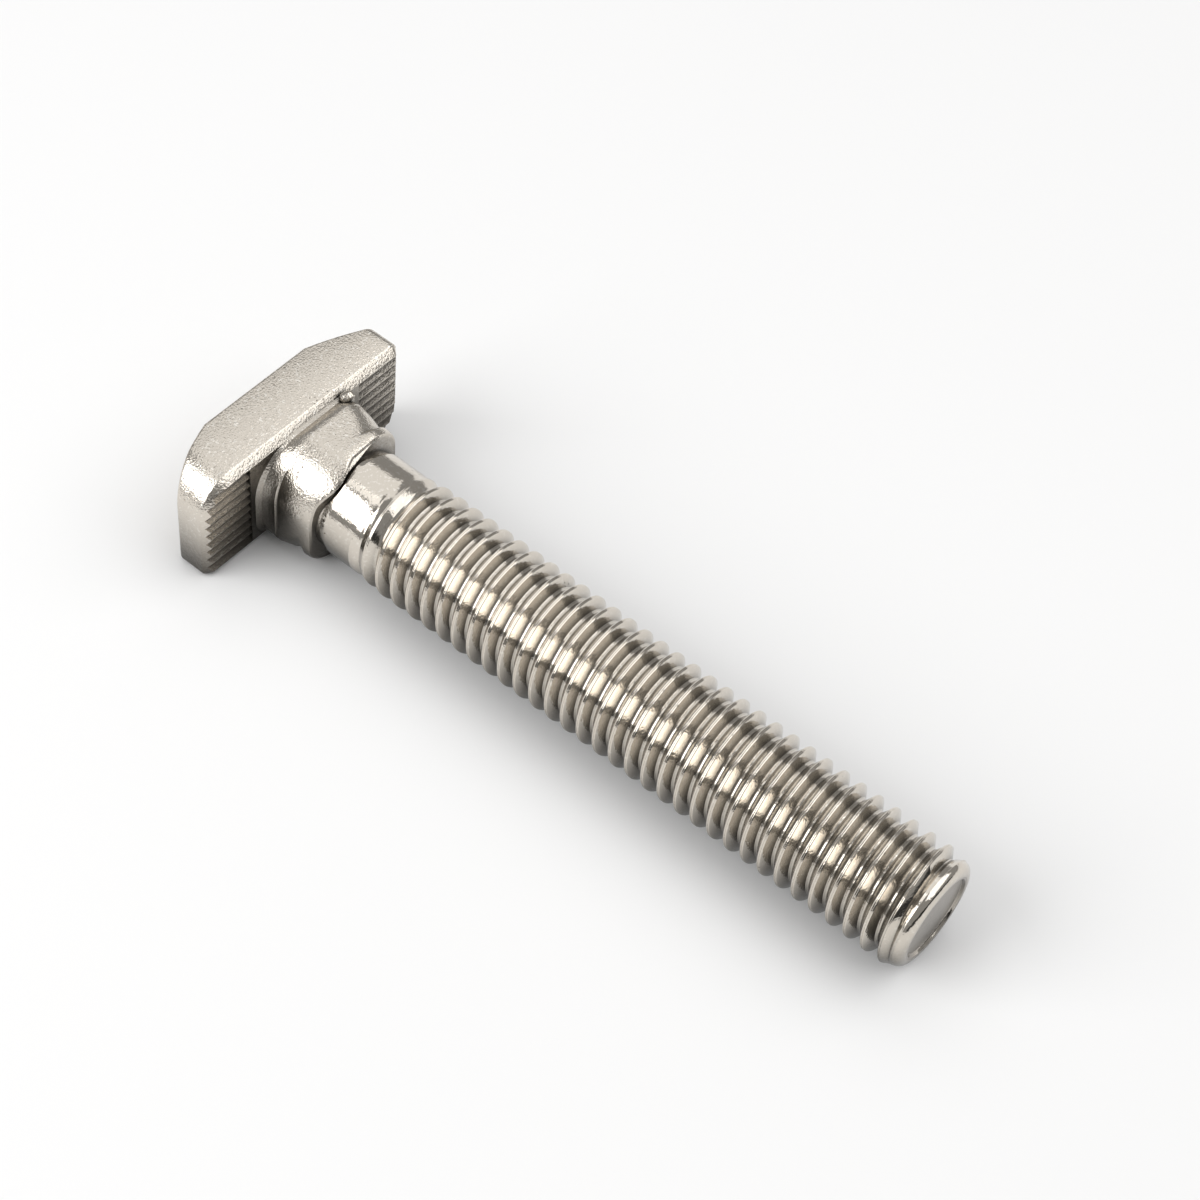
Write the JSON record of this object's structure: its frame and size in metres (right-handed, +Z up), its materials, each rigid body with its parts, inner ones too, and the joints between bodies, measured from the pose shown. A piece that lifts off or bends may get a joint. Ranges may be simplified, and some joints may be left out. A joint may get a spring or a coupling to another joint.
{
  "type": "t slot bolt",
  "caption": "Forged hammer-head bolt with a serrated seat, an eared neck and a long threaded shank, for fastening to slotted aluminium profile.",
  "frame": {"origin": "centre of the bounding box at floor level, under the middle of the bolt as it lies at rest", "axes": "+X along the shank toward the tip, +Y along the hammer head, +Z up"},
  "size_m": [0.0542, 0.0178, 0.008],
  "materials": {
    "nickel_plate": "nickel-plated forged and rolled steel, semi-bright"
  },
  "bodies": {
    "root": {"t_slot_bolt": "nickel_plate"}
  },
  "joints": []
}
